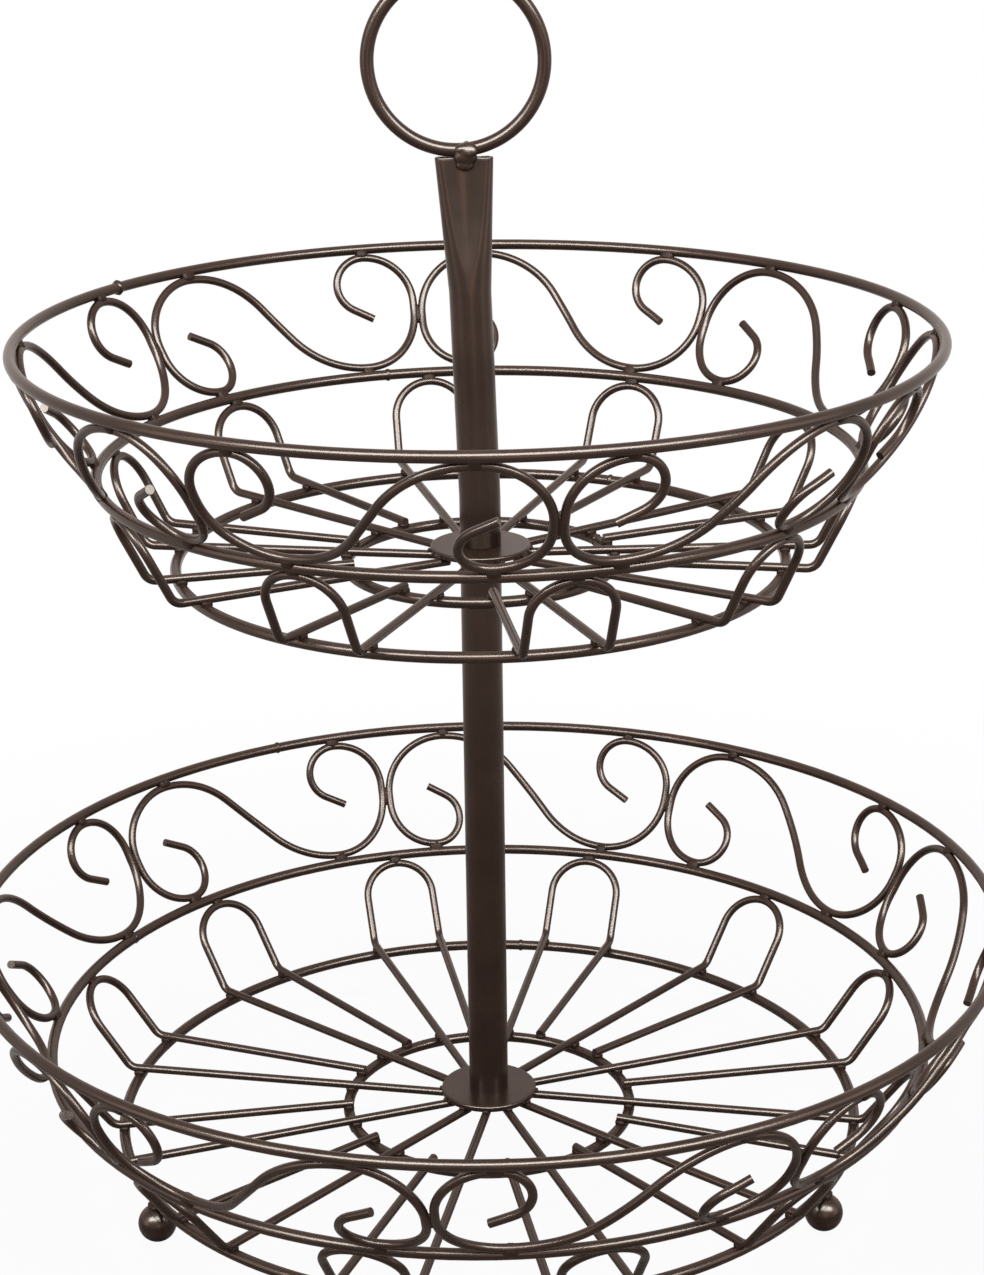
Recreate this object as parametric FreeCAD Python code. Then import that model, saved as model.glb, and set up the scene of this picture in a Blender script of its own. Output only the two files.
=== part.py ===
import FreeCAD, Part
import math
import os

os.makedirs("parts", exist_ok=True)

Vector = FreeCAD.Vector
UP = Vector(0, 0, 1)
FORWARD = Vector(0, 1, 0)

# Wire diameters, and the room left between two wires that are welded together
ring_wire = 3.2
scroll_wire = 2.47
handle_wire = 3.8
weld_gap = 0.04

# Ball feet under the lower base ring, each ground flat underneath
foot_count = 3
first_foot_angle = 90.0
foot_diameter = 11.0
foot_flat = 0.3

# Lower tier: ring centreline radii, rises from the base ring to the middle ring to the rim,
# how far outside the base ring the hairpins bend, and how far their legs fall towards the hub
lower_inner_radius = 42.8
lower_base_radius = 110.5
lower_mid_radius = 130.3
lower_rim_radius = 151.0
lower_mid_rise = 27.0
lower_rim_rise = 37.8
lower_scroll_count = 9
lower_first_scroll_angle = 3.9
lower_diagonal_angle = 50.0
lower_hairpin_count = 12
lower_first_hairpin_angle = 14.0
lower_bend_overhang = 2.2
lower_floor_dip = 0.0

# Upper tier, whose hairpins are not evenly spaced
upper_inner_radius = 38.2
upper_base_radius = 86.4
upper_mid_radius = 107.0
upper_rim_radius = 128.2
upper_mid_rise = 28.2
upper_rim_rise = 36.3
upper_scroll_count = 8
upper_first_scroll_angle = 31.6
upper_diagonal_angle = 56.0
upper_hairpin_angles = [25.0, 63.0, 98.5, 134.5, 170.0, 204.0, 244.0, 283.0, 318.0, 351.0]
upper_bend_overhang = 8.5
upper_floor_dip = 2.1
tier_spacing = 174.5

# Scroll form: how far its middle bulges out, and shares of the height between its two rings
scroll_bulge = 2.6
crown_share = 0.51
heel_share = 0.41
curl_share = 0.24
tail_share = 0.19
curl_angle = 150.0

# Hairpins: arch width, bend over the base ring, and legs that close in towards the hub
hairpin_width = 22.6
hairpin_bend = 4.0
hub_leg_spread = 5.0
leg_overshoot = 1.4
leg_cover = 3.3

# Hub discs, which lie on the ends of the legs
disc_diameter = 28.6
disc_thickness = 1.6
disc_edge_round = 0.6

# Tube posts; the upper one is pinched at its top, and leans to the left from above its nut
post_diameter = 11.7
post_wall = 1.0
upper_post_length = 109.7
pinch_length = 37.0
pinch_thickness = 4.2
pinch_start_angle = 4.0
post_lean = 2.9

# Threaded parts: nuts pressed into the tube ends, the joining stud and the base screw
thread_diameter = 5.9
thread_fit = 0.08
thread_chamfer = 0.6
hole_room = 0.4
nut_length = 14.0
nut_fit = 0.05
stud_grip = 11.0
screw_grip = 10.0
head_diameter = 11.6
head_height = 3.2
head_round = 1.0
recess_length = 6.2
recess_width = 1.3
recess_depth = 1.8

# Handle ring, welded on a little to the left of the pinched top's middle
handle_diameter = 51.5
handle_lean = 1.8

# Sideways share of a heading below which a bend is drawn as a straight line
straight_share = 1e-6

# Heights that follow from the sizes above
wire_step = (ring_wire + scroll_wire) / 2 + weld_gap
lower_base_height = foot_diameter - foot_flat + weld_gap + ring_wire / 2
upper_base_height = lower_base_height + tier_spacing
leg_step = scroll_wire / 2 + weld_gap
disc_radius = disc_diameter / 2
hub_reach = disc_radius - leg_cover


def floor_dip(reach, base_radius, dip):
    return dip * (base_radius - reach) / (base_radius - hub_reach)


lower_disc_dip = floor_dip(disc_radius, lower_base_radius, lower_floor_dip)
upper_disc_dip = floor_dip(disc_radius, upper_base_radius, upper_floor_dip)
lower_disc_height = lower_base_height + wire_step - lower_disc_dip + leg_step
upper_disc_height = upper_base_height + wire_step - upper_disc_dip + leg_step
lower_post_foot = lower_disc_height + disc_thickness
upper_post_foot = upper_disc_height + disc_thickness
upper_post_top = upper_post_foot + upper_post_length
post_radius = post_diameter / 2
thread_radius = thread_diameter / 2


def save(shape, name):
    shape.exportStep("parts/" + name + ".step")


def toward(angle):
    turn = math.radians(angle)
    return Vector(math.cos(turn), math.sin(turn), 0)


def cylinder(radius, length, height):
    return Part.makeCylinder(radius, length, UP * height)


def ring(radius, height):
    return Part.makeTorus(radius, ring_wire / 2, UP * height)


# Bent wires: a round section carried along lines and arcs that run smoothly into one another

def line(start, end):
    return Part.makeLine(start, end)


def arc_from(start, heading, end):
    chord = end - start
    aside = heading - chord * (heading.dot(chord) / chord.dot(chord))
    if aside.Length < heading.Length * straight_share:
        return line(start, end)
    half_turn = heading.getAngle(chord)
    crest = (start + end) / 2 + aside.normalize() * (chord.Length / 2 * math.tan(half_turn / 2))
    return Part.Arc(start, crest, end).toShape()


def two_arcs(start, heading, end, end_heading):
    chord = end - start
    total = heading + end_heading
    bend = 2 * (1 - heading.dot(end_heading))
    along = chord.dot(total)
    if bend < straight_share * straight_share:
        return [arc_from(start, heading, end)]
    reach = (math.sqrt(along * along + bend * chord.dot(chord)) - along) / bend
    meeting = (start + end + (heading - end_heading) * reach) / 2
    return [arc_from(start, heading, meeting), arc_from(end, end_heading * -1, meeting)]


def rounded_corner(before, corner, after, radius):
    inward = (before - corner).normalize()
    outward = (after - corner).normalize()
    half_angle = inward.getAngle(outward) / 2
    reach = radius / math.tan(half_angle)
    middle = (inward + outward).normalize()
    crest = corner + middle * (radius / math.sin(half_angle) - radius)
    return corner + inward * reach, crest, corner + outward * reach


def bent_wire(edges, thickness, start, heading):
    spine = Part.Wire(edges)
    section = Part.Wire(Part.makeCircle(thickness / 2, start, heading))
    return spine.makePipeShell([section], True, False)


def hairpin(angle, base_height, inner_radius, base_radius, mid_radius, mid_rise, bend_overhang, dip):
    outward = toward(angle)
    side = toward(angle + 90)
    corner_reach = base_radius + bend_overhang
    corner_rise = wire_step - floor_dip(corner_reach, base_radius, dip)
    climb = (outward * (mid_radius - corner_reach) + UP * (mid_rise - corner_rise)).normalize()
    half = hairpin_width / 2
    rim_point = outward * mid_radius + UP * (base_height + mid_rise)
    arch_centre = rim_point - climb * (wire_step + half)

    def on_leg(reach, way):
        closing = (corner_reach - reach) / (corner_reach - hub_reach)
        offset = half + (hub_leg_spread / 2 - half) * closing
        height = base_height + wire_step - floor_dip(reach, base_radius, dip)
        return outward * reach + side * (offset * way) + UP * height

    hub_end = on_leg(hub_reach, 1)
    short_end = on_leg(inner_radius - leg_overshoot, -1)
    hub_shoulder = arch_centre + side * half
    short_shoulder = arch_centre - side * half
    bend_in, bend_crest, bend_out = rounded_corner(
        hub_end, on_leg(corner_reach, 1), hub_shoulder, hairpin_bend)
    drop_in, drop_crest, drop_out = rounded_corner(
        short_shoulder, on_leg(corner_reach, -1), short_end, hairpin_bend)
    edges = [
        line(hub_end, bend_in),
        Part.Arc(bend_in, bend_crest, bend_out).toShape(),
        line(bend_out, hub_shoulder),
        Part.Arc(hub_shoulder, arch_centre + climb * half, short_shoulder).toShape(),
        line(short_shoulder, drop_in),
        Part.Arc(drop_in, drop_crest, drop_out).toShape(),
        line(drop_out, short_end),
    ]
    return bent_wire(edges, scroll_wire, hub_end, bend_in - hub_end)


def half_scroll(height, half_width, diagonal_angle):
    # Steps from the scroll's middle to its free end: each is a length or radius, and a turn in degrees
    diagonal = math.radians(diagonal_angle)
    crown = height * crown_share
    heel = height * heel_share
    reach = half_width - crown
    sweep = (reach * math.sin(diagonal) - height / 2 * math.cos(diagonal)) / (1 - math.cos(diagonal))
    straight = (reach - sweep * math.sin(diagonal)) / math.cos(diagonal)
    steps = [
        (straight, 0),
        (sweep, diagonal_angle),
        (crown, 90),
        (height - crown - heel, 0),
        (heel, 90),
        (height * curl_share, curl_angle / 2),
        (height * curl_share, curl_angle / 2),
        (height * tail_share, 0),
    ]
    across, rise, heading = 0, 0, diagonal
    places = [(across, rise, heading)]
    for size, turn in steps:
        bend = math.radians(turn)
        chord = 2 * size * math.sin(bend / 2) if turn else size
        across += chord * math.cos(heading - bend / 2)
        rise += chord * math.sin(heading - bend / 2)
        heading -= bend
        places.append((across, rise, heading))
    return places


def scroll(angle, count, diagonal_angle, mid_height, mid_radius, rim_radius, rim_rise):
    flare = rim_radius - mid_radius
    slant = math.hypot(flare, rim_rise)
    height = slant - 2 * wire_step
    mean_radius = (mid_radius + rim_radius) / 2 + scroll_bulge * rim_rise / slant
    pitch = 2 * math.pi * mean_radius / count
    half_width = (pitch - scroll_wire - weld_gap) / 2
    half = half_scroll(height, half_width, diagonal_angle)
    other_half = [(-across, -rise, heading) for across, rise, heading in reversed(half)]
    points = []
    headings = []
    for across, rise, heading in other_half + half[1:]:
        climb_share = rise / slant + 1 / 2
        off_middle = 2 * rise / height
        bulge = scroll_bulge * (1 - off_middle * off_middle)
        turn = angle + math.degrees(across / mean_radius)
        radius = mid_radius + flare * climb_share + bulge * rim_rise / slant
        level = mid_height + rim_rise * climb_share - bulge * flare / slant
        upward = (toward(turn) * flare + UP * rim_rise) / slant
        outward = (toward(turn) * rim_rise - UP * flare) / slant
        climb = upward - outward * (4 * scroll_bulge * off_middle / height)
        points.append(toward(turn) * radius + UP * level)
        direction = toward(turn + 90) * (math.cos(heading) * radius / mean_radius)
        headings.append((direction + climb * math.sin(heading)).normalize())
    edges = []
    for place in range(len(points) - 1):
        edges += two_arcs(points[place], headings[place], points[place + 1], headings[place + 1])
    return bent_wire(edges, scroll_wire, points[0], headings[0])


def hub_disc(height):
    disc = cylinder(disc_radius, disc_thickness, height)
    top_edges = [edge for edge in disc.Edges if edge.BoundBox.ZMin > height]
    disc = disc.makeFillet(disc_edge_round, top_edges)
    return disc.cut(cylinder(thread_radius + hole_room, disc_thickness, height))


def tier(name, base_height, inner_radius, base_radius, mid_radius, rim_radius, mid_rise, rim_rise,
         scroll_count, first_scroll_angle, diagonal_angle, hairpin_angles, bend_overhang, dip, disc_height):
    mid_height = base_height + mid_rise
    inner_dip = floor_dip(inner_radius, base_radius, dip)
    save(ring(inner_radius, base_height - inner_dip), name + "_inner_ring")
    save(ring(base_radius, base_height), name + "_base_ring")
    save(ring(mid_radius, mid_height), name + "_mid_ring")
    save(ring(rim_radius, mid_height + rim_rise), name + "_rim")
    save(hub_disc(disc_height), name + "_hub_disc")
    for place in range(scroll_count):
        angle = first_scroll_angle + place * 360 / scroll_count
        shape = scroll(angle, scroll_count, diagonal_angle, mid_height, mid_radius, rim_radius, rim_rise)
        save(shape, name + "_scroll_" + str(place + 1))
    for place, angle in enumerate(hairpin_angles):
        shape = hairpin(angle, base_height, inner_radius, base_radius, mid_radius, mid_rise,
                        bend_overhang, dip)
        save(shape, name + "_hairpin_" + str(place + 1))


def foot(angle):
    radius = foot_diameter / 2
    centre = toward(angle) * lower_base_radius + UP * (radius - foot_flat)
    ball = Part.makeSphere(radius, centre)
    ground = Part.makeBox(foot_diameter, foot_diameter, foot_flat, centre - Vector(radius, radius, radius))
    return ball.cut(ground)


def tube(foot_height, length):
    bore = cylinder(post_radius - post_wall, length, foot_height)
    return cylinder(post_radius, length, foot_height).cut(bore)


def nut(height):
    body = cylinder(post_radius - post_wall - nut_fit, nut_length, height)
    return body.cut(cylinder(thread_radius + thread_fit, nut_length, height))


def threaded_rod(foot_height, length):
    rod = cylinder(thread_radius, length, foot_height)
    ends = [edge for edge in rod.Edges if edge.Closed and edge.BoundBox.ZLength < thread_chamfer]
    return rod.makeChamfer(thread_chamfer, ends)


# Upper post: a round tube whose top is pinched flat, with the same distance round it all the way up

def lean_at(height):
    lean_foot = upper_post_foot + nut_length
    return post_lean * (height - lean_foot) / (upper_post_top - lean_foot)


def arc_about(middle, half_span, radius, height):
    centre = Vector(-lean_at(height), 0, height)
    points = [centre + toward(middle + half_span * way) * radius for way in (-1, 0, 1)]
    return Part.Arc(*points).toShape()


def round_section(radius, height):
    flat_span = pinch_start_angle
    end_span = 90 - pinch_start_angle
    edges = [
        arc_about(-90, flat_span, radius, height),
        arc_about(0, end_span, radius, height),
        arc_about(90, flat_span, radius, height),
        arc_about(180, end_span, radius, height),
    ]
    return Part.Wire(edges)


def pinched_section(radius, half_flat, height):
    left = -lean_at(height) - half_flat
    right = -lean_at(height) + half_flat
    front_left = Vector(left, -radius, height)
    front_right = Vector(right, -radius, height)
    back_right = Vector(right, radius, height)
    back_left = Vector(left, radius, height)
    right_end = Vector(right + radius, 0, height)
    left_end = Vector(left - radius, 0, height)
    edges = [
        line(front_left, front_right),
        Part.Arc(front_right, right_end, back_right).toShape(),
        line(back_right, back_left),
        Part.Arc(back_left, left_end, front_left).toShape(),
    ]
    return Part.Wire(edges)


def pinched_rod(inset):
    half_flat = math.pi * (post_radius - pinch_thickness / 2) / 2
    straight = cylinder(post_radius - inset, nut_length, upper_post_foot)
    sections = [
        round_section(post_radius - inset, upper_post_foot + nut_length),
        round_section(post_radius - inset, upper_post_top - pinch_length),
        pinched_section(pinch_thickness / 2 - inset, half_flat, upper_post_top),
    ]
    return straight.fuse(Part.makeLoft(sections, True, True))


def base_screw():
    head = cylinder(head_diameter / 2, head_height, lower_disc_height - head_height)
    low_edges = [edge for edge in head.Edges if edge.BoundBox.ZMax < lower_disc_height - head_height / 2]
    head = head.makeFillet(head_round, low_edges)
    shank = threaded_rod(lower_disc_height - thread_chamfer, thread_chamfer + disc_thickness + screw_grip)
    screw = head.fuse(shank).removeSplitter()
    corner = UP * (lower_disc_height - head_height)
    long_slot = Part.makeBox(recess_length, recess_width, recess_depth,
                             corner - Vector(recess_length / 2, recess_width / 2, 0))
    cross_slot = Part.makeBox(recess_width, recess_length, recess_depth,
                              corner - Vector(recess_width / 2, recess_length / 2, 0))
    return screw.cut(long_slot.fuse(cross_slot))


lower_hairpin_angles = []
for place in range(lower_hairpin_count):
    lower_hairpin_angles.append(lower_first_hairpin_angle + place * 360 / lower_hairpin_count)
tier("lower", lower_base_height, lower_inner_radius, lower_base_radius, lower_mid_radius, lower_rim_radius,
     lower_mid_rise, lower_rim_rise, lower_scroll_count, lower_first_scroll_angle, lower_diagonal_angle,
     lower_hairpin_angles, lower_bend_overhang, lower_floor_dip, lower_disc_height)
tier("upper", upper_base_height, upper_inner_radius, upper_base_radius, upper_mid_radius, upper_rim_radius,
     upper_mid_rise, upper_rim_rise, upper_scroll_count, upper_first_scroll_angle, upper_diagonal_angle,
     upper_hairpin_angles, upper_bend_overhang, upper_floor_dip, upper_disc_height)
for place in range(foot_count):
    save(foot(first_foot_angle + place * 360 / foot_count), "foot_" + str(place + 1))
lower_post_length = upper_disc_height - lower_post_foot
save(tube(lower_post_foot, lower_post_length), "lower_post")
lower_nuts = [nut(lower_post_foot), nut(upper_disc_height - nut_length)]
save(Part.makeCompound(lower_nuts), "lower_post_nuts")
save(pinched_rod(0).cut(pinched_rod(post_wall)), "upper_post")
save(nut(upper_post_foot), "upper_post_nut")
save(threaded_rod(upper_disc_height - stud_grip, 2 * stud_grip + disc_thickness), "joining_stud")
save(base_screw(), "base_screw")
handle_height = upper_post_top + weld_gap + handle_diameter / 2
handle_centre = Vector(-post_lean - handle_lean, 0, handle_height)
handle_radius = (handle_diameter - handle_wire) / 2
save(Part.makeTorus(handle_radius, handle_wire / 2, handle_centre, FORWARD), "handle_ring")
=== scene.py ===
import bpy
import math
import random
from mathutils import Matrix, Vector


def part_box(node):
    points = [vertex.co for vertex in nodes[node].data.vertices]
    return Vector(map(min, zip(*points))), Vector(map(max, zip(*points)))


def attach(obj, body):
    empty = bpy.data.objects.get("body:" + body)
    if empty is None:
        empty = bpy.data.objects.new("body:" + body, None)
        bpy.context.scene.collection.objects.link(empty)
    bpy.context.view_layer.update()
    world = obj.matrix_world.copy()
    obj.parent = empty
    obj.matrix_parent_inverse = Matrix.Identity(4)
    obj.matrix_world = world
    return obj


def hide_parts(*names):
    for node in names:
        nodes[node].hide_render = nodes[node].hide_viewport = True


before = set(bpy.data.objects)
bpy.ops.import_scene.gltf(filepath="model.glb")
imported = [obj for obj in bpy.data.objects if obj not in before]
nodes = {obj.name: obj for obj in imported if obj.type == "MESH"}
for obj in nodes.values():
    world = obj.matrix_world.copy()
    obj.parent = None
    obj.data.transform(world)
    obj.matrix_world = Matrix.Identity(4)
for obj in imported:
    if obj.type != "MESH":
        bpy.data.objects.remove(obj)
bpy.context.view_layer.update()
mm = 0.001

# Basket rings
# Four hoops of drawn steel wire to a tier, rolled round and butt-welded shut. After welding
# the whole stand is powder-coated dark bronze, so this finish is on every wire, disc and tube.
tiers = ("lower", "upper")
ring_names = [tier + "_" + ring for tier in tiers
              for ring in ("inner_ring", "base_ring", "mid_ring", "rim")]
coat_dark = (0.0330, 0.0172, 0.0124, 1)
coat_warm = (0.0440, 0.0232, 0.0168, 1)
coat_edge_tint = (0.80, 0.60, 0.49, 1)
coat_metallic = 0.25
coat_sheen_level = 0.5
coat_roughness = 0.26
cloud_size = 14 * mm
cloud_range = (0.3, 0.7)
cloud_middle = 0.5
cloud_roughness = 0.10
peel_size = 1.1 * mm
peel_height = 0.003 * mm
flake_colour = (0.15, 0.095, 0.065, 1)
flake_size = 0.22 * mm
flake_range = (0.60, 0.72)
flake_share = 0.1
dust_colour = (0.30, 0.275, 0.25, 1)
dust_spacing = 7 * mm
dust_range = (0.018, 0.034)
dust_patch_size = 30 * mm
dust_patch_range = (0.55, 0.62)
dust_share = 0.7
dust_roughness = 0.3


class Finish:
    """One socket in a material, on which arithmetic adds the maths nodes."""

    def __init__(self, tree, socket=None):
        self.tree = tree
        self.socket = socket

    def node(self, kind, settings, inputs, output=0):
        made = self.tree.nodes.new(kind)
        for name, value in settings.items():
            setattr(made, name, value)
        for name, value in inputs.items():
            self.feed(made.inputs[name], value)
        return Finish(self.tree, made.outputs[output])

    def feed(self, socket, value):
        if isinstance(value, Finish):
            self.tree.links.new(value.socket, socket)
        else:
            socket.default_value = value

    def maths(self, operation, first, second):
        return self.node("ShaderNodeMath", {"operation": operation}, {0: first, 1: second})

    def __add__(self, other):
        return self.maths("ADD", self, other)

    def __radd__(self, other):
        return self.maths("ADD", other, self)

    def __sub__(self, other):
        return self.maths("SUBTRACT", self, other)

    def __rsub__(self, other):
        return self.maths("SUBTRACT", other, self)

    def __mul__(self, other):
        return self.maths("MULTIPLY", self, other)

    def __rmul__(self, other):
        return self.maths("MULTIPLY", other, self)

    def between(self, low, high):
        inputs = {"Value": self, "From Min": low, "From Max": high}
        return self.node("ShaderNodeMapRange", {"interpolation_type": "SMOOTHSTEP"}, inputs)

    def tint(self, first, second):
        return self.node("ShaderNodeMix", {"data_type": "RGBA"}, {0: self, 6: first, 7: second}, 2)

    def noise(self, size, detail):
        inputs = {"Vector": self, "Scale": 1 / size, "Detail": detail}
        return self.node("ShaderNodeTexNoise", {}, inputs, "Fac")

    def cells(self, size):
        inputs = {"Vector": self, "Scale": 1 / size}
        return self.node("ShaderNodeTexVoronoi", {}, inputs, "Distance")

    def bump(self, height):
        inputs = {"Strength": 1.0, "Distance": height, "Height": self}
        return self.node("ShaderNodeBump", {}, inputs, "Normal")


def new_finish(name):
    material = bpy.data.materials.new(name)
    material.use_nodes = True
    tree = material.node_tree
    shader = tree.nodes["Principled BSDF"]
    return material, Finish(tree), shader


def bronze_coat(name, roughness, shine):
    material, finish, shader = new_finish(name)
    place = finish.node("ShaderNodeTexCoord", {}, {}, "Object")
    cloud = place.noise(cloud_size, detail=3.0)
    peel = place.noise(peel_size, detail=1.0)
    flake = place.noise(flake_size, detail=1.0).between(*flake_range)
    dust_patch = place.noise(dust_patch_size, detail=1.0).between(*dust_patch_range)
    dust = (1 - place.cells(dust_spacing).between(*dust_range)) * dust_patch
    colour = cloud.between(*cloud_range).tint(coat_dark, coat_warm)
    colour = (flake * flake_share).tint(colour, flake_colour)
    colour = (dust * dust_share).tint(colour, dust_colour)
    finish.feed(shader.inputs["Base Color"], colour)
    roughness = roughness + (cloud - cloud_middle) * cloud_roughness + dust * dust_roughness
    finish.feed(shader.inputs["Roughness"], roughness)
    finish.feed(shader.inputs["Normal"], peel.bump(peel_height))
    shader.inputs["Metallic"].default_value = coat_metallic * shine
    shader.inputs["Specular IOR Level"].default_value = coat_sheen_level * shine
    shader.inputs["Specular Tint"].default_value = coat_edge_tint
    return material


def dress(node, material):
    slots = nodes[node].data.materials
    slots.clear()
    slots.append(material)


bronze = bronze_coat("bronze_coat", coat_roughness, shine=1.0)
for name in ring_names:
    dress(name, bronze)

# Butt-weld flash
# The lump of upset steel left where the two ends of each hoop were pressed and welded together.
# It was not dressed off before coating, and is largest on the upper rim.
flash_degrees = {"lower_inner_ring": 200, "lower_base_ring": 84,
                 "lower_mid_ring": 151, "lower_rim": 118,
                 "upper_inner_ring": 28, "upper_base_ring": 62,
                 "upper_mid_ring": 105.5, "upper_rim": 147.3}
flash_length = 1.4 * mm
flash_proud = 0.25 * mm
rim_flash_proud = 0.6 * mm
flash_width_share = 0.94
flash_shake_share = 0.13


def deselect():
    bpy.ops.object.select_all(action="DESELECT")


def take(piece):
    deselect()
    piece.select_set(True)
    bpy.context.view_layer.objects.active = piece


def edit(piece):
    take(piece)
    bpy.ops.object.mode_set(mode="EDIT")
    bpy.ops.mesh.select_all(action="SELECT")


def edit_done():
    bpy.ops.object.mode_set(mode="OBJECT")


def copy_at(master, place, along, toward, sizes):
    aside = along.cross(toward).normalized()
    toward = aside.cross(along).normalized()
    turn = Matrix((along, toward, aside)).transposed()
    copy = master.copy()
    copy.data = master.data.copy()
    bpy.context.collection.objects.link(copy)
    copy.matrix_world = Matrix.Translation(place) @ (turn @ Matrix.Diagonal(sizes)).to_4x4()
    return copy


def settle(pieces, name, body, material):
    deselect()
    for piece in pieces:
        piece.select_set(True)
    bpy.context.view_layer.objects.active = pieces[0]
    if len(pieces) > 1:
        bpy.ops.object.join()
    bpy.ops.object.transform_apply(location=True, rotation=True, scale=True)
    settled = bpy.context.active_object
    settled.name = name
    settled.data.materials.clear()
    settled.data.materials.append(material)
    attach(settled, body)
    return settled


def ring_form(ring):
    low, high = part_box(ring)
    half = (high.z - low.z) / 2
    return (high.x - low.x) / 2 - half, (high.z + low.z) / 2, half


def around(turn):
    return Vector((math.cos(turn), math.sin(turn), 0))


def round_the_ring(outward):
    return Vector((-outward.y, outward.x, 0))


deselect()
bpy.ops.mesh.primitive_uv_sphere_add(segments=20, ring_count=12, radius=1)
flash = bpy.context.active_object
edit(flash)
bpy.ops.transform.vertex_random(offset=flash_shake_share, seed=11)
edit_done()
bpy.ops.object.shade_smooth()
for tier in tiers:
    flashes = []
    for ring in ring_names:
        if ring.startswith(tier):
            radius, level, half = ring_form(ring)
            outward = around(math.radians(flash_degrees[ring]))
            reach = half + (rim_flash_proud if ring == "upper_rim" else flash_proud)
            place = outward * radius + Vector((0, 0, level))
            sizes = (flash_length, reach * flash_width_share, reach)
            flashes.append(copy_at(flash, place, round_the_ring(outward), outward, sizes))
    settle(flashes, tier + "_ring_flashes", tier + "_tier", bronze)
bpy.data.objects.remove(flash)

# Hairpin floor wires
# Thinner wire bent cold: each hairpin arches against the middle ring, turns over the base ring and
# runs in as two floor spokes. It is resistance-welded wherever it lies on a ring.
ring_steps = 1440
weld_reach = 0.35 * mm
arch_bead = (1.8 * mm, 1.5 * mm, 1.1 * mm)
cross_bead = (1.35 * mm, 0.9 * mm, 1.35 * mm)
bead_round_share = 0.62
bead_shake_share = 0.05
bead_size_shares = (0.86, 1.14)
weld_roughness = 0.52
weld_shine = 0.2
shaky = random.Random(5)

for name in nodes:
    if "hairpin" in name:
        dress(name, bronze)
weld_coat = bronze_coat("coated_weld", weld_roughness, weld_shine)

deselect()
bpy.ops.mesh.primitive_cube_add(size=2)
bead = bpy.context.active_object
edit(bead)
bpy.ops.mesh.subdivide(number_cuts=2)
bpy.ops.transform.tosphere(value=bead_round_share)
bpy.ops.transform.vertex_random(offset=bead_shake_share, seed=3)
edit_done()
bpy.ops.object.shade_smooth()


def nearest(wire, spot, reach):
    found, near = nodes[wire].closest_point_on_mesh(spot, distance=reach)[:2]
    return near if found else None


def weld_places(radius, level, half, wire):
    near_points = []
    for step in range(ring_steps):
        spot = around(math.tau * step / ring_steps) * radius + Vector((0, 0, level))
        near_points.append(nearest(wire, spot, half + weld_reach))
    start = near_points.index(None)
    places = []
    run = []
    for step in range(start, start + ring_steps + 1):
        if near_points[step % ring_steps] is not None:
            run.append(step)
        elif run:
            middle = run[len(run) // 2]
            outward = around(math.tau * middle / ring_steps)
            spot = outward * radius + Vector((0, 0, level))
            toward = (near_points[middle % ring_steps] - spot).normalized()
            places.append((spot + toward * half, round_the_ring(outward), toward))
            run = []
    return places


def shaken(sizes):
    return [size * shaky.uniform(*bead_size_shares) for size in sizes]


def ring_welds(tier, ring, kind, sizes):
    radius, level, half = ring_form(tier + "_" + ring)
    beads = []
    for wire in nodes:
        if wire.startswith(tier + "_" + kind):
            for place, along, toward in weld_places(radius, level, half, wire):
                beads.append(copy_at(bead, place, along, toward, shaken(sizes)))
    return beads


for tier in tiers:
    beads = ring_welds(tier, "mid_ring", "hairpin", arch_bead)
    beads += ring_welds(tier, "base_ring", "hairpin", cross_bead)
    beads += ring_welds(tier, "inner_ring", "hairpin", cross_bead)
    settle(beads, tier + "_hairpin_welds", tier + "_tier", weld_coat)

# Scrolls
# S scrolls of the same thin wire fill the side between the middle ring and the rim. Each is welded
# to both rings at its two rounds, and to its neighbours where their backs meet.
scroll_bead = (1.8 * mm, 1.7 * mm, 1.3 * mm)
back_bead = (2.8 * mm, 0.95 * mm, 0.8 * mm)
back_reach = 0.2 * mm
back_point_step = 2

for name in nodes:
    if "scroll" in name:
        dress(name, bronze)


def back_weld(tier, wire, neighbour):
    meetings = []
    points = nodes[wire].data.vertices
    for index in range(0, len(points), back_point_step):
        near = nearest(neighbour, points[index].co, back_reach)
        if near is not None:
            meetings.append((points[index].co + near) / 2)
    place = sum(meetings, Vector()) / len(meetings)
    outward = Vector((place.x, place.y, 0)).normalized()
    mid_radius, mid_level = ring_form(tier + "_mid_ring")[:2]
    rim_radius, rim_level = ring_form(tier + "_rim")[:2]
    climb = outward * (rim_radius - mid_radius) + Vector((0, 0, rim_level - mid_level))
    return copy_at(bead, place, climb.normalized(), round_the_ring(outward), shaken(back_bead))


for tier in tiers:
    beads = ring_welds(tier, "mid_ring", "scroll", scroll_bead)
    beads += ring_welds(tier, "rim", "scroll", scroll_bead)
    count = len([name for name in nodes if name.startswith(tier + "_scroll")])
    for place in range(count):
        wire = tier + "_scroll_" + str(place + 1)
        neighbour = tier + "_scroll_" + str((place + 1) % count + 1)
        beads.append(back_weld(tier, wire, neighbour))
    settle(beads, tier + "_scroll_welds", tier + "_tier", weld_coat)

# Hub discs
# Washers blanked from steel sheet, each lying on the inner ends of the floor spokes of its tier.
# A small bead holds each spoke at the edge of its disc.
hub_bead = (0.75 * mm, 0.5 * mm, 0.65 * mm)
upright = Vector((0, 0, 1))

for tier in tiers:
    disc = tier + "_hub_disc"
    dress(disc, bronze)
    low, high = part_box(disc)
    beads = []
    for wire in nodes:
        if wire.startswith(tier + "_hairpin"):
            for place, along, toward in weld_places(high.x, low.z, 0, wire):
                beads.append(copy_at(bead, place, along, upright, shaken(hub_bead)))
    settle(beads, tier + "_hub_welds", tier + "_tier", weld_coat)

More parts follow.
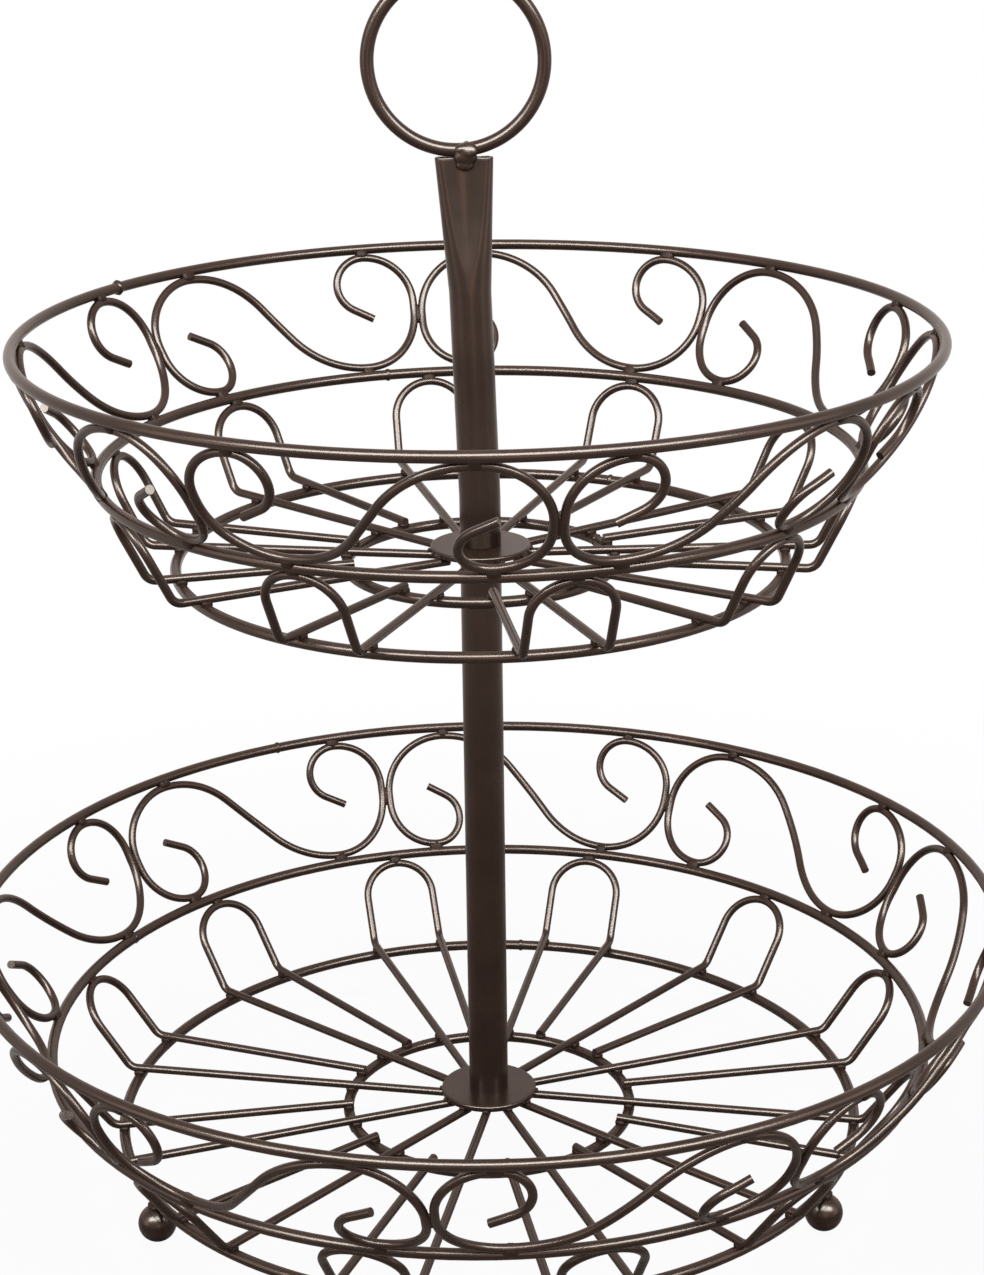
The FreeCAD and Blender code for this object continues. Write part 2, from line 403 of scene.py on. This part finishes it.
# Ball feet
# Solid steel balls, ground flat below and welded under the lower base ring before coating.
# The weld shows as a low collar between ball and ring.
foot_bead = (1.9 * mm, 1.0 * mm, 1.8 * mm)

collars = []
for name in nodes:
    if name.startswith("foot"):
        dress(name, bronze)
        low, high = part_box(name)
        place = Vector(((low.x + high.x) / 2, (low.y + high.y) / 2, high.z))
        outward = Vector((place.x, place.y, 0)).normalized()
        collars.append(copy_at(bead, place, round_the_ring(outward), upright, shaken(foot_bead)))
settle(collars, "foot_collars", "lower_tier", weld_coat)
bpy.data.objects.remove(bead)

# Base screw
# A zinc-plated pan-head machine screw, cold-headed with a cross recess and thread-rolled. It comes
# up through the lower disc into the nut in the foot of the post.
thread_pitch = 1.0 * mm
thread_crest = 2.95 * mm
thread_root = 2.41 * mm
thread_end = 0.6 * mm
thread_end_shares = (0.84, 0.84, 1)
thread_sides = 40
spare_turns = 2
merge_reach = 0.001 * mm
screw_smooth_angle = math.radians(35)
head_height = 3.2 * mm
head_round = 1.0 * mm
recess_reach = 3.1 * mm
recess_half_width = 0.65 * mm
recess_depth = 1.8 * mm
recess_floor_shares = (0.55, 0.8, 1)
facing_up = 0.5
zinc_pale = (0.48, 0.48, 0.49, 1)
zinc_dull = (0.34, 0.345, 0.36, 1)
zinc_straw = (0.46, 0.43, 0.34, 1)
zinc_roughness = 0.08
zinc_cloud_size = 5 * mm
zinc_cloud_range = (0.35, 0.65)
zinc_cloud_roughness = 0.06
straw_size = 9 * mm
straw_range = (0.52, 0.70)
straw_share = 0.5
grain_size = 0.25 * mm
grain_roughness = 0.03
grain_height = 0.004 * mm


def zinc_plate():
    material, finish, shader = new_finish("zinc_plate")
    place = finish.node("ShaderNodeTexCoord", {}, {}, "Object")
    cloud = place.noise(zinc_cloud_size, detail=3.0)
    straw = place.noise(straw_size, detail=2.0).between(*straw_range)
    grain = place.noise(grain_size, detail=2.0)
    colour = cloud.between(*zinc_cloud_range).tint(zinc_pale, zinc_dull)
    colour = (straw * straw_share).tint(colour, zinc_straw)
    finish.feed(shader.inputs["Base Color"], colour)
    shader.inputs["Metallic"].default_value = 1.0
    roughness = zinc_roughness + cloud * zinc_cloud_roughness + grain * grain_roughness
    finish.feed(shader.inputs["Roughness"], roughness)
    finish.feed(shader.inputs["Normal"], grain.bump(grain_height))
    return material


def apply_modifier(piece, kind, **settings):
    take(piece)
    modifier = piece.modifiers.new(kind.lower(), kind)
    for name, value in settings.items():
        setattr(modifier, name, value)
    bpy.ops.object.modifier_apply(modifier=modifier.name)


def unmark(piece):
    edit(piece)
    bpy.ops.mesh.select_all(action="DESELECT")
    edit_done()


def edit_marked():
    bpy.ops.object.mode_set(mode="EDIT")


def draw_out(height):
    bpy.ops.mesh.extrude_region_move(TRANSFORM_OT_translate={"value": (0, 0, height)})


def thread(foot, top):
    deselect()
    bpy.ops.mesh.primitive_circle_add(vertices=3, radius=thread_pitch)
    rod = bpy.context.active_object
    start = foot - thread_pitch
    profile = ((thread_root, start),
               (thread_crest, start + thread_pitch / 2),
               (thread_root, start + thread_pitch))
    for point, (reach, level) in zip(rod.data.vertices, profile):
        point.co = (reach, 0, level)
    unmark(rod)
    for edge in rod.data.edges:
        edge.select = set(edge.vertices) == {0, 2}
    edit_marked()
    bpy.ops.mesh.delete(type="EDGE")
    edit_done()
    turns = math.ceil((top - foot) / thread_pitch) + spare_turns
    apply_modifier(rod, "SCREW", axis="Z", angle=math.tau, screw_offset=thread_pitch,
                   iterations=turns, steps=thread_sides, render_steps=thread_sides)
    edit(rod)
    bpy.ops.mesh.remove_doubles(threshold=merge_reach)
    bpy.ops.mesh.normals_make_consistent(inside=False)
    for end, way in ((foot, -1), (top, 1)):
        bpy.ops.mesh.select_all(action="SELECT")
        bpy.ops.mesh.bisect(plane_co=(0, 0, end - way * thread_end), plane_no=(0, 0, way),
                            use_fill=True, clear_outer=True)
        draw_out(way * thread_end)
        bpy.ops.transform.resize(value=thread_end_shares, center_override=(0, 0, end))
    bpy.ops.mesh.select_all(action="SELECT")
    bpy.ops.mesh.normals_make_consistent(inside=False)
    edit_done()
    bpy.ops.object.shade_smooth_by_angle(angle=screw_smooth_angle)
    return rod


zinc = zinc_plate()
low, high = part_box("base_screw")
shank = thread(low.z + head_height - thread_end, high.z)
deselect()
bpy.ops.mesh.primitive_cylinder_add(vertices=64, radius=high.x, depth=head_height,
                                    location=(0, 0, low.z + head_height / 2))
head = bpy.context.active_object
unmark(head)
for edge in head.data.edges:
    edge.select = all(head.data.vertices[corner].co.z < 0 for corner in edge.vertices)
edit_marked()
bpy.ops.mesh.bevel(offset=head_round, segments=5)
edit_done()
bars = []
for turn in (0, math.pi / 2):
    deselect()
    bpy.ops.mesh.primitive_cube_add(size=2, location=(0, 0, low.z), rotation=(0, 0, turn))
    bar = bpy.context.active_object
    bar.scale = (recess_reach, recess_half_width, recess_depth)
    unmark(bar)
    for face in bar.data.polygons:
        face.select = face.normal.z > facing_up
    edit_marked()
    bpy.ops.transform.resize(value=recess_floor_shares)
    edit_done()
    bars.append(bar)
for bar in bars:
    apply_modifier(head, "BOOLEAN", operation="DIFFERENCE", solver="EXACT", object=bar)
    bpy.data.objects.remove(bar)
take(head)
bpy.ops.object.shade_smooth_by_angle(angle=screw_smooth_angle)
plated_screw = settle([head, shank], "plated_base_screw", "base_fastener", zinc)
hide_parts("base_screw")

# Lower post
# A length of steel tube, cut square and coated. A plated nut is pressed into each end for the base
# screw and the joining stud.
dress("lower_post", bronze)
dress("lower_post_nuts", zinc)

# Joining stud
# A plain length of rolled and plated threaded rod. It passes through the upper disc and joins the
# lower post to the upper one.
low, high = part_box("joining_stud")
stud_rod = thread(low.z, high.z)
plated_stud = settle([stud_rod], "plated_joining_stud", "stud", zinc)
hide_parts("joining_stud")

# Upper post
# The same tube, pinched nearly flat in a press at its top so that the handle ring can be welded on.
# The pinch leaves a dished wedge on both faces, and it pulled the tube a little to the left.
low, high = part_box("upper_post")
post_radius = high.y
post_wall = 1.0 * mm
post_lean = 2.9 * mm
post_edge_round = 0.18 * mm
post_edge_angle = math.radians(60)
post_smooth_angle = math.radians(30)
nut_length = 14.0 * mm
pinch_length = 37.0 * mm
pinch_thickness = 4.2 * mm
pinch_rings = 40
pressed_half = 1.05 * mm
press_power = 1.6
dish_start_share = 0.10
dish_spread_share = 0.75
dish_widening = 2
start_angle = math.radians(4)
flat_steps = 22
end_steps = 44

dress("upper_post_nut", zinc)
section_count = 2 * (flat_steps + end_steps)
lean_foot = low.z + nut_length
pinch_foot = high.z - pinch_length
post_top = high.z
deselect()
bpy.ops.mesh.primitive_circle_add(vertices=section_count, radius=post_radius,
                                  location=(0, 0, low.z))
tube = bpy.context.active_object
bpy.ops.object.transform_apply(location=True)
edit(tube)
draw_out(nut_length)
draw_out(pinch_foot - lean_foot)
for place in range(pinch_rings):
    draw_out(pinch_length / pinch_rings)
edit_done()


def dish_depth(across, pinch, flat, end_radius):
    growth = min(max((pinch - dish_start_share) / (1 - dish_start_share), 0), 1)
    middle = pressed_half + (post_radius - pressed_half) * (1 - growth) ** press_power
    half_width = flat + dish_spread_share * end_radius
    half_width *= math.sqrt(min(dish_widening * growth, 1))
    if abs(across) >= half_width:
        return 0
    return max(end_radius - middle, 0) * (1 - (across / half_width) ** 2) ** 2


def pinched_point(place, height):
    pinch = max((height - pinch_foot) / pinch_length, 0)
    lean = post_lean * max((height - lean_foot) / (post_top - lean_foot), 0)
    flat = math.pi * (post_radius - pinch_thickness / 2) / 2 * pinch
    end_radius = post_radius - 2 * flat / math.pi
    angle = start_angle * (1 - pinch)
    side = 1 if place < section_count / 2 else -1
    place = place % (section_count // 2)
    if place <= flat_steps:
        share = 2 * place / flat_steps - 1
        across = flat * share + end_radius * math.sin(angle * share)
        depth = end_radius * math.cos(angle * share)
    else:
        turn = angle + (math.pi - 2 * angle) * (place - flat_steps) / end_steps
        across = flat + end_radius * math.sin(turn)
        depth = end_radius * math.cos(turn)
    depth -= math.copysign(dish_depth(across, pinch, flat, end_radius), depth)
    return Vector((side * across - lean, -side * depth, height))


for point in tube.data.vertices:
    turn = math.atan2(point.co.y, point.co.x)
    place = round(turn / math.tau * section_count) % section_count
    point.co = pinched_point(place, point.co.z)
edit(tube)
bpy.ops.mesh.normals_make_consistent(inside=False)
edit_done()
side_face = tube.data.polygons[0]
if side_face.normal.xy.dot(side_face.center.xy) < 0:
    edit(tube)
    bpy.ops.mesh.flip_normals()
    edit_done()
apply_modifier(tube, "SOLIDIFY", thickness=post_wall, offset=-1.0)
apply_modifier(tube, "BEVEL", width=post_edge_round, segments=2,
               limit_method="ANGLE", angle_limit=post_edge_angle)
bpy.ops.object.shade_smooth_by_angle(angle=post_smooth_angle)
pinched_post = settle([tube], "pinched_upper_post", "handle", bronze)
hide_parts("upper_post")

# Handle ring
# A ring of thicker round wire, set on edge on the pinched post and held by one fat bead of weld.
# The bead ran down the front of the post and left a small peak inside the ring. Each lump of it
# has its place and its half sizes in millimetres, and its tilt.
weld_place = Vector((-2.5 * mm, 0, post_top))
weld_tilt = math.radians(-26)
weld_lumps = (((0.3, -0.9, 2.2), (3.6, 2.2, 1.8), 0),
              ((0.0, -1.2, 0.2), (3.3, 1.9, 2.4), 0),
              ((-0.2, -1.5, -2.0), (2.5, 1.25, 1.7), 0),
              ((0.9, -2.1, 2.3), (2.4, 1.0, 2.1), weld_tilt),
              ((0.4, -0.2, 3.5), (1.1, 1.3, 0.9), 0),
              ((0.0, 0.9, 0.9), (2.6, 1.8, 2.1), 0))
weld_mesh_size = 0.28 * mm

dress("handle_ring", bronze)
lumps = []
for offset, sizes, tilt in weld_lumps:
    deselect()
    place = weld_place + Vector(offset) * mm
    bpy.ops.mesh.primitive_uv_sphere_add(segments=24, ring_count=16, radius=mm,
                                         location=place, rotation=(tilt, 0, 0))
    lump = bpy.context.active_object
    lump.scale = sizes
    lumps.append(lump)
handle_weld = settle(lumps, "handle_weld", "handle", bronze)
apply_modifier(handle_weld, "REMESH", mode="VOXEL", voxel_size=weld_mesh_size)
apply_modifier(handle_weld, "SMOOTH", factor=0.5, iterations=9)
bpy.ops.object.shade_smooth()
handle_weld.data.materials.clear()
handle_weld.data.materials.append(bronze)

# Floor and backdrop
# A wide sweep that is white to the camera and takes a faint shadow round the stand. Reflections see
# it white from a little way off, and nearer the stand as the lamps light it.
floor_size = 40
floor_colour = (0.40, 0.40, 0.40, 1)
floor_roughness = 0.9
near_white_share = 0.95
shadow_range = (0.2, 0.45)
mirrored_range = (0.1, 0.9)
pure_white = (1, 1, 1, 1)

deselect()
bpy.ops.mesh.primitive_plane_add(size=floor_size, location=(0, 0, 0))
floor = bpy.context.active_object
floor.name = "floor"
white, finish, shader = new_finish("white_sweep")
shader.inputs["Base Color"].default_value = floor_colour
shader.inputs["Roughness"].default_value = floor_roughness
shader.inputs["Specular IOR Level"].default_value = 0.0
place = finish.node("ShaderNodeTexCoord", {}, {}, "Object")
distance = finish.node("ShaderNodeVectorMath", {"operation": "LENGTH"}, {0: place}, "Value")


def rays(finish, *kinds):
    return sum(finish.node("ShaderNodeLightPath", {}, {}, kind) for kind in kinds)


seen = rays(finish, "Is Camera Ray", "Is Transmission Ray")
seen_white = near_white_share + distance.between(*shadow_range) * (1 - near_white_share)
mirrored = rays(finish, "Is Glossy Ray")
share = seen * seen_white + mirrored * distance.between(*mirrored_range)
glow = finish.node("ShaderNodeEmission", {}, {"Color": pure_white, "Strength": 1.0})
lit = Finish(finish.tree, shader.outputs[0])
mixed = finish.node("ShaderNodeMixShader", {}, {0: share, 1: lit, 2: glow})
finish.feed(finish.tree.nodes["Material Output"].inputs["Surface"], mixed)
floor.data.materials.append(white)

# Light
# A soft box overhead lights the stand, and a long cool strip above the camera, seen only in
# reflections, puts the bright line on its wires. A weaker box stands at each side, and a low warm
# one in front. The studio round them is white to look at but gives little light.
studio_light = 0.35
stand_middle = Vector((0, 0, 0.18))
strip_colour = (0.67, 0.89, 1.0)
fill_colour = (1.0, 0.80, 0.62)

world = bpy.data.worlds.new("pale_studio")
bpy.context.scene.world = world
world.use_nodes = True
studio = Finish(world.node_tree)
seen = rays(studio, "Is Camera Ray", "Is Glossy Ray", "Is Transmission Ray")
background = world.node_tree.nodes["Background"]
background.inputs["Color"].default_value = pure_white
studio.feed(background.inputs["Strength"], seen * (1 - studio_light) + studio_light)


def soft_light(name, place, width, height, radiance):
    bpy.ops.object.light_add(type="AREA", location=place)
    lamp = bpy.context.active_object
    lamp.name = name
    lamp.rotation_euler = (stand_middle - Vector(place)).to_track_quat("-Z", "Y").to_euler()
    lamp.data.shape = "RECTANGLE"
    lamp.data.size = width
    lamp.data.size_y = height
    lamp.data.energy = radiance * math.pi * width * height
    return lamp


overhead = soft_light("overhead_box", (0, 0.15, 1.45), width=0.8, height=0.5, radiance=14.0)
overhead.visible_glossy = False
strip = soft_light("front_strip", (0, -1.0, 1.15), width=3.1, height=0.6, radiance=42.0)
strip.visible_diffuse = False
strip.data.color = strip_colour
soft_light("left_box", (-1.18, -0.55, 0.42), width=0.7, height=0.8, radiance=2.3)
soft_light("right_box", (1.22, -0.44, 0.42), width=0.7, height=0.8, radiance=1.9)
fill = soft_light("front_fill", (0.20, -1.5, 0.25), width=0.45, height=0.5, radiance=1.9)
fill.data.color = fill_colour

# Camera
# It stands where the photo was taken from, a little above the handle and looking down. Its place,
# turns and focal length were fitted to the rings of the stand.
photo_height = 1275
sensor_size = 36
focal_pixels = 2756.8
camera_place = Vector((0.49, -749.04, 422.08)) * mm
camera_yaw = 0.00319
camera_pitch = 0.33389
camera_roll = -0.01411
forward = Vector((math.sin(camera_yaw) * math.cos(camera_pitch),
                  math.cos(camera_yaw) * math.cos(camera_pitch), -math.sin(camera_pitch)))
level_side = forward.cross(upright).normalized()
level_up = level_side.cross(forward)
camera_side = level_side * math.cos(camera_roll) + level_up * math.sin(camera_roll)
camera_up = level_up * math.cos(camera_roll) - level_side * math.sin(camera_roll)
camera_turn = Matrix((camera_side, camera_up, -forward)).transposed().to_4x4()
bpy.ops.object.camera_add()
camera = bpy.context.active_object
camera.matrix_world = Matrix.Translation(camera_place) @ camera_turn
camera.data.sensor_width = sensor_size
camera.data.lens = focal_pixels * sensor_size / photo_height
bpy.context.scene.camera = camera
bpy.context.scene.view_settings.view_transform = "Standard"
